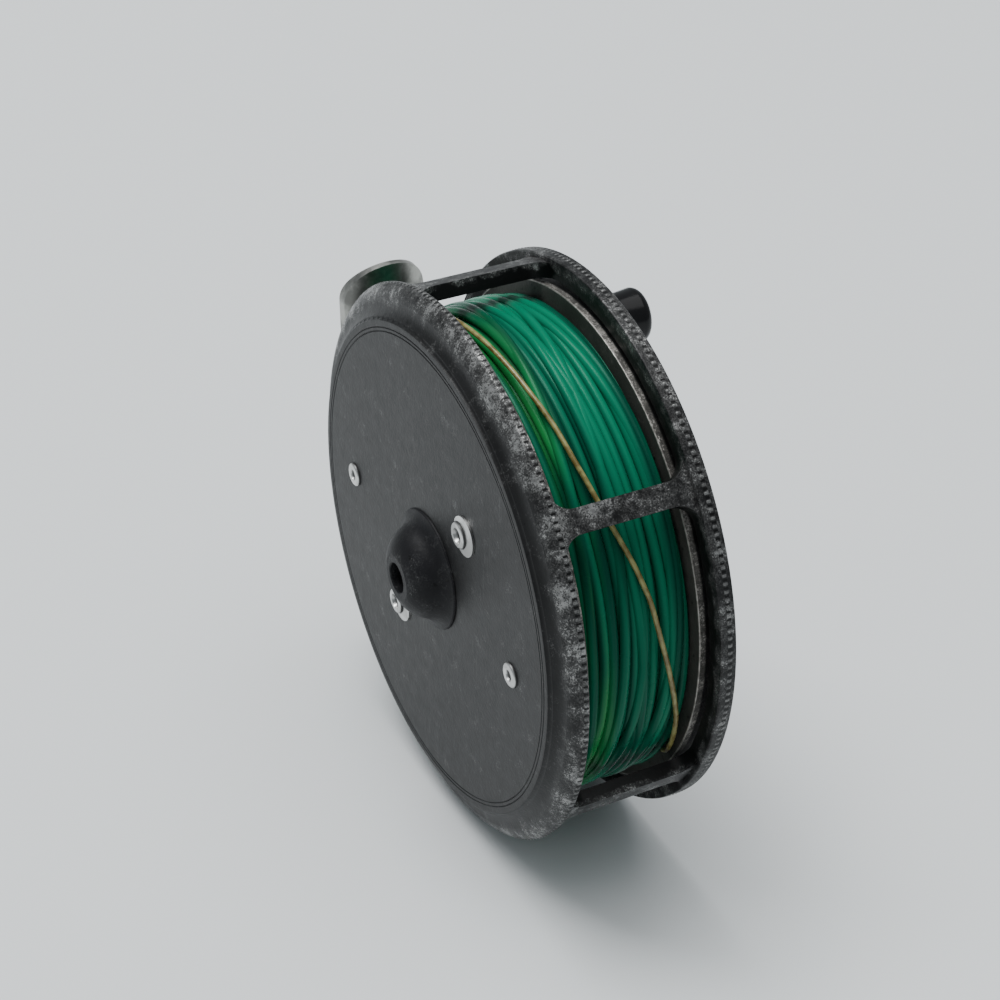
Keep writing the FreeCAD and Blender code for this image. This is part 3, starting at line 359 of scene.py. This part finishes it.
def line_material():
    """Coated line: every turn a slightly different green, yellower on the plate side."""
    graph = Graph("line_coat")
    turn_tone = graph.noise(1.0, 1.0, 0.4, graph.stretch((520, 12, 12)))
    colour = graph.blend(graph.step(turn_tone, 0.32, 0.70), rgb(0.0, 0.046, 0.027), rgb(0.0, 0.150, 0.078))
    yellow = graph.invert(graph.step(graph.across(), -0.0075, 0.0))
    patch = graph.step(graph.noise(1.0, 2.0, 0.5, graph.stretch((330, 30, 30))), 0.40, 0.68)
    colour = graph.blend(graph.math("MULTIPLY", yellow, patch), colour, rgb(0.026, 0.240, 0.045))
    rough = graph.span(graph.noise(260, 3.0), 0.20, 0.32)
    graph.bump(graph.noise(1400, 2.0), 0.00003, 0.35)
    return graph.finish(colour, rough, 0.0, IOR=1.25, Specular_IOR_Level=0.40,
                        Specular_Tint=rgb(0.45, 1.0, 0.80))


def knob_material():
    graph = Graph("knob_plastic")
    colour = graph.blend(graph.noise(260, 4.0), rgb(0.003, 0.003, 0.0035), rgb(0.006, 0.006, 0.0065))
    rough = graph.span(graph.noise(500, 3.0), 0.12, 0.24)
    graph.bump(graph.noise(1500, 2.0), 0.00001, 0.3)
    return graph.finish(colour, rough, Specular_IOR_Level=0.22)


def leader_material():
    graph = Graph("leader_nylon")
    stain = graph.step(graph.noise(560, 4.0, 0.6), 0.38, 0.62)
    colour = graph.blend(stain, rgb(0.13, 0.095, 0.024), rgb(0.25, 0.235, 0.085))
    rough = graph.span(graph.noise(600, 2.0), 0.22, 0.36)
    return graph.finish(colour, rough)


def backing_material():
    graph = Graph("backing")
    colour = graph.blend(graph.noise(900, 4.0), rgb(0.52, 0.49, 0.38), rgb(0.72, 0.69, 0.58))
    graph.bump(graph.noise(1.0, 2.0, 0.5, graph.stretch((2400, 500, 500))), 0.0001, 0.7)
    return graph.finish(colour, graph.span(graph.noise(500, 2.0), 0.75, 0.92))


def floor_material():
    graph = Graph("pale_floor")
    colour = graph.blend(graph.noise(3.0, 3.0), rgb(0.700, 0.722, 0.728), rgb(0.720, 0.742, 0.748))
    return graph.finish(colour, graph.span(graph.noise(60, 3.0), 0.60, 0.70))


def make_materials():
    return {
        "frame_paint": paint_wear_and_shade("frame_paint", rgb(0.0062, 0.0062, 0.0064), rgb(0.29, 0.29, 0.285),
                                  0.0362, 0.0400, 0.155, knurled=True),
        "boss_paint": paint_wear_and_shade("boss_paint", rgb(0.007, 0.007, 0.008), rgb(0.11, 0.11, 0.11),
                                 -0.002, -0.001, 0.055, 0.42, 0.13),
        "spool_paint": paint_wear_and_shade("spool_paint", rgb(0.034, 0.033, 0.030), rgb(0.42, 0.40, 0.37),
                                  0.0366, 0.0371, 0.16, lipped=True),
        "foot_alloy": metal("foot_alloy", rgb(0.40, 0.40, 0.375), rgb(0.17, 0.17, 0.16), 0.36, 0.54),
        "screw_steel": metal("screw_steel", rgb(0.40, 0.40, 0.39), rgb(0.22, 0.22, 0.22), 0.28, 0.42),
        "ground_steel": metal("ground_steel", rgb(0.56, 0.56, 0.56), rgb(0.42, 0.42, 0.42), 0.16, 0.28),
        "hard_steel": metal("hard_steel", rgb(0.34, 0.34, 0.35), rgb(0.20, 0.20, 0.21), 0.30, 0.45),
        "spring_steel": metal("spring_steel", rgb(0.36, 0.37, 0.42), rgb(0.22, 0.23, 0.28), 0.24, 0.36),
        "rivet_metal": rivet_metal(),
        "brass": metal("brass", rgb(0.62, 0.44, 0.17), rgb(0.40, 0.27, 0.10), 0.24, 0.38),
        "backing": backing_material(),
        "line_coat": line_material(),
        "leader_nylon": leader_material(),
        "knob_plastic": knob_material(),
    }


# --------------------------------------------------------------------------
# Geometry helpers
# --------------------------------------------------------------------------
def mesh_object(name, points, faces, material, smooth=True):
    mesh = bpy.data.meshes.new(name)
    mesh.from_pydata([tuple(point) for point in points], [], faces)
    mesh.validate()
    mesh.polygons.foreach_set("use_smooth", [smooth] * len(mesh.polygons))
    mesh.materials.append(material)
    item = bpy.data.objects.new(name, mesh)
    bpy.context.scene.collection.objects.link(item)
    return item


def add_tube(points, faces, path, radius, sides=12, closed=True):
    """Append a round tube along a path to a list of points and faces."""
    first = len(points)
    count = len(path)
    for index, here in enumerate(path):
        if closed:
            ahead, behind = path[(index + 1) % count], path[index - 1]
        else:
            ahead, behind = path[min(index + 1, count - 1)], path[max(index - 1, 0)]
        along = (ahead - behind).normalized()
        out = Vector((0, here.y - AXIS_Y, here.z)).normalized()
        out = (out - along * out.dot(along)).normalized()
        side = along.cross(out)
        for step in range(sides):
            turn = 2 * math.pi * step / sides
            points.append(here + out * (math.cos(turn) * radius) + side * (math.sin(turn) * radius))
    spans = count if closed else count - 1
    for index in range(spans):
        for step in range(sides):
            a = first + index * sides + step
            b = first + index * sides + (step + 1) % sides
            c = first + (index + 1) % count * sides + (step + 1) % sides
            d = first + (index + 1) % count * sides + step
            faces.append((a, b, c, d))
    if not closed:
        faces.append(tuple(first + step for step in reversed(range(sides))))
        faces.append(tuple(first + (count - 1) * sides + step for step in range(sides)))


def smooth_wave(strength, waves=4):
    """A random smooth periodic function of angle."""
    terms = [(random.uniform(-1, 1) * strength / (k ** 0.8), k, random.uniform(0, 2 * math.pi))
             for k in range(1, waves + 1)]

    def value(angle):
        return sum(size * math.sin(k * angle + phase) for size, k, phase in terms)
    return value


def turned_ring(name, profile, count, material):
    """A closed ring round the spindle from (x, radius at angle) functions of its section."""
    points = []
    faces = []
    steps = len(profile)
    for index in range(count):
        angle = 2 * math.pi * index / count
        for x, radius in profile:
            value = radius(index) if callable(radius) else radius
            points.append(round_spindle(x, value, angle))
    for index in range(count):
        after = (index + 1) % count
        for step in range(steps):
            following = (step + 1) % steps
            faces.append((index * steps + step, index * steps + following,
                          after * steps + following, after * steps + step))
    return mesh_object(name, points, faces, material)


# --------------------------------------------------------------------------
# Winding
# --------------------------------------------------------------------------
def plate_side_drop(x):
    """How far the winding's surface lies below its full radius."""
    share = min(max((x - WINDING_LEFT) / PLATE_SIDE_WIDTH, 0.0), 1.0)
    return PLATE_SIDE_DROP * (1 - share) ** 1.6 + 0.0002


def winding_core(material):
    """The line under the outer layer, with its sides against the flanges."""
    low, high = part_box("backing_line")
    inner = (high[2] - low[2]) / 2 + 0.00005
    outer = WINDING_RADIUS - 1.9 * STRAND
    slope = WINDING_LEFT + 0.4 * PLATE_SIDE_WIDTH
    profile = [
        (WINDING_LEFT, inner),
        (WINDING_RIGHT, inner),
        (WINDING_RIGHT, outer + 0.5 * STRAND),
        (WINDING_RIGHT - 2 * STRAND, outer),
        (WINDING_LEFT + PLATE_SIDE_WIDTH, outer),
        (slope, outer - plate_side_drop(slope)),
        (WINDING_LEFT, outer - PLATE_SIDE_DROP),
    ]
    core = turned_ring("winding_core", profile, 180, material)
    core.data.polygons.foreach_set("use_smooth", [False] * len(core.data.polygons))
    return core


def winding_loop(place):
    """A closed path round the spindle; place gives X and radius at an angle."""
    path = []
    for index in range(PATH_SAMPLES):
        angle = 2 * math.pi * index / PATH_SAMPLES
        x, radius = place(angle)
        path.append(round_spindle(x, radius, angle))
    return path


def between_flanges(x):
    return min(max(x, WINDING_LEFT + STRAND), WINDING_RIGHT - STRAND)


def winding_turns(material):
    """Outer layer of line: side-by-side turns that wander, and a few that cross over them."""
    points, faces = [], []
    width = WINDING_RIGHT - WINDING_LEFT - 2 * STRAND
    for number in range(LINE_TURNS):
        base = WINDING_LEFT + STRAND + width * number / (LINE_TURNS - 1)
        sway = smooth_wave(0.00024)
        lift = smooth_wave(0.00030)

        def beside(angle):
            x = between_flanges(base + sway(angle))
            return x, WINDING_RADIUS - STRAND + lift(angle) - plate_side_drop(x)
        add_tube(points, faces, winding_loop(beside), STRAND)
    for _ in range(LINE_CROSSINGS):
        middle = random.uniform(-0.0025, 0.0035)
        reach = random.uniform(0.0015, 0.0042)
        phase = random.uniform(0, 2 * math.pi)
        sway = smooth_wave(0.0004)

        def crossing(angle):
            x = between_flanges(middle + reach * math.sin(angle + phase) + sway(angle))
            return x, WINDING_RADIUS - 0.35 * STRAND - plate_side_drop(x)
        add_tube(points, faces, winding_loop(crossing), STRAND)
    return mesh_object("winding_turns", points, faces, material)


def leader_run(material):
    """The leader's outer turn across the winding."""
    path = []
    reach = WINDING_RADIUS + 0.6 * STRAND + LEADER
    for (start, x0), (end, x1) in zip(LEADER_ROUTE, LEADER_ROUTE[1:]):
        for part in range(6):
            share = part / 6
            angle = math.radians(start + (end - start) * share)
            path.append(round_spindle(x0 + (x1 - x0) * share, reach, angle))
    last_angle, last_x = LEADER_ROUTE[-1]
    path.append(round_spindle(last_x, WINDING_RADIUS + 0.3 * STRAND, math.radians(last_angle)))
    smooth = [path[0]]
    for before, here, after in zip(path, path[1:], path[2:]):
        smooth.append((before + here * 2 + after) / 4)
    smooth.append(path[-1])
    points, faces = [], []
    add_tube(points, faces, smooth, LEADER, 10, False)
    return mesh_object("leader_run", points, faces, material)


# --------------------------------------------------------------------------
# Knurled rims
# --------------------------------------------------------------------------
def knurl(name, left, right, low, high, material):
    """A narrow milled band: rounded ridges across the rim."""
    heights = (0.0, 0.1, 0.85, 1.0, 0.85, 0.1)
    samples = len(heights)
    mid = (left + right) / 2
    dip = 0.00030

    def crown(level):
        def value(index):
            return low + (high - low) * level - dip * (1 - heights[index % samples]) * level
        return value
    profile = [
        (left, low - 0.0006),
        (left, crown(0.0)),
        (left + (mid - left) * 0.4, crown(0.75)),
        (mid, crown(1.0)),
        (right - (right - mid) * 0.4, crown(0.75)),
        (right, crown(0.0)),
        (right, low - 0.0006),
    ]
    return turned_ring(name, profile, RIDGES * samples, material)


# --------------------------------------------------------------------------
# Floor and light
# --------------------------------------------------------------------------
def make_floor(material):
    low = -RING_RADIUS - 0.0001
    size = 3.0
    corners = [(-size, -size, low), (size, -size, low), (size, size, low), (-size, size, low)]
    floor = mesh_object("floor", corners, [(0, 1, 2, 3)], material, False)


def area_light(name, location, target, size, power, colour):
    data = bpy.data.lights.new(name, "AREA")
    data.shape = "RECTANGLE"
    data.size, data.size_y = size
    data.energy = power
    data.color = colour
    lamp = bpy.data.objects.new(name, data)
    bpy.context.scene.collection.objects.link(lamp)
    lamp.location = location
    lamp.rotation_euler = (Vector(target) - Vector(location)).to_track_quat("-Z", "Y").to_euler()


def make_light():
    middle = (0, AXIS_Y, 0)
    area_light("window", (-0.38, 0.60, 2.10), middle, (1.3, 1.2), 50.0, (0.98, 0.99, 1.0))
    area_light("ceiling", (0.1, -0.1, 2.4), middle, (2.6, 2.6), 36.0, (1.0, 1.0, 1.0))
    world = bpy.data.worlds.new("studio")
    world.use_nodes = True
    background = world.node_tree.nodes["Background"]
    background.inputs["Color"].default_value = (0.86, 0.93, 0.97, 1.0)
    background.inputs["Strength"].default_value = 0.42
    bpy.context.scene.world = world


# --------------------------------------------------------------------------
# Build
# --------------------------------------------------------------------------
make_camera()
materials = make_materials()
for entry in frame["record"]["subparts"]:
    node = frame["nodes"][entry["node"]]
    node.data.materials.clear()
    node.data.materials.append(materials[entry["material_slot"]])

core = winding_core(materials["line_coat"])
turns = winding_turns(materials["line_coat"])
for piece in (core, turns):
    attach(piece, "spool")
    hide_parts("fly_line")
leader = leader_run(materials["leader_nylon"])
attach(leader, "spool")
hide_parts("leader")

back_knurl = knurl("back_knurl", *BACK_BAND, RIM_RADIUS - 0.0002, RIM_RADIUS + 0.0001,
                   materials["frame_paint"])
front_knurl = knurl("front_knurl", *FRONT_BAND, RING_RADIUS - 0.0002, RING_RADIUS + 0.0001,
                    materials["frame_paint"])
for piece in (back_knurl, front_knurl):
    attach(piece, "cage")

make_floor(floor_material())
make_light()
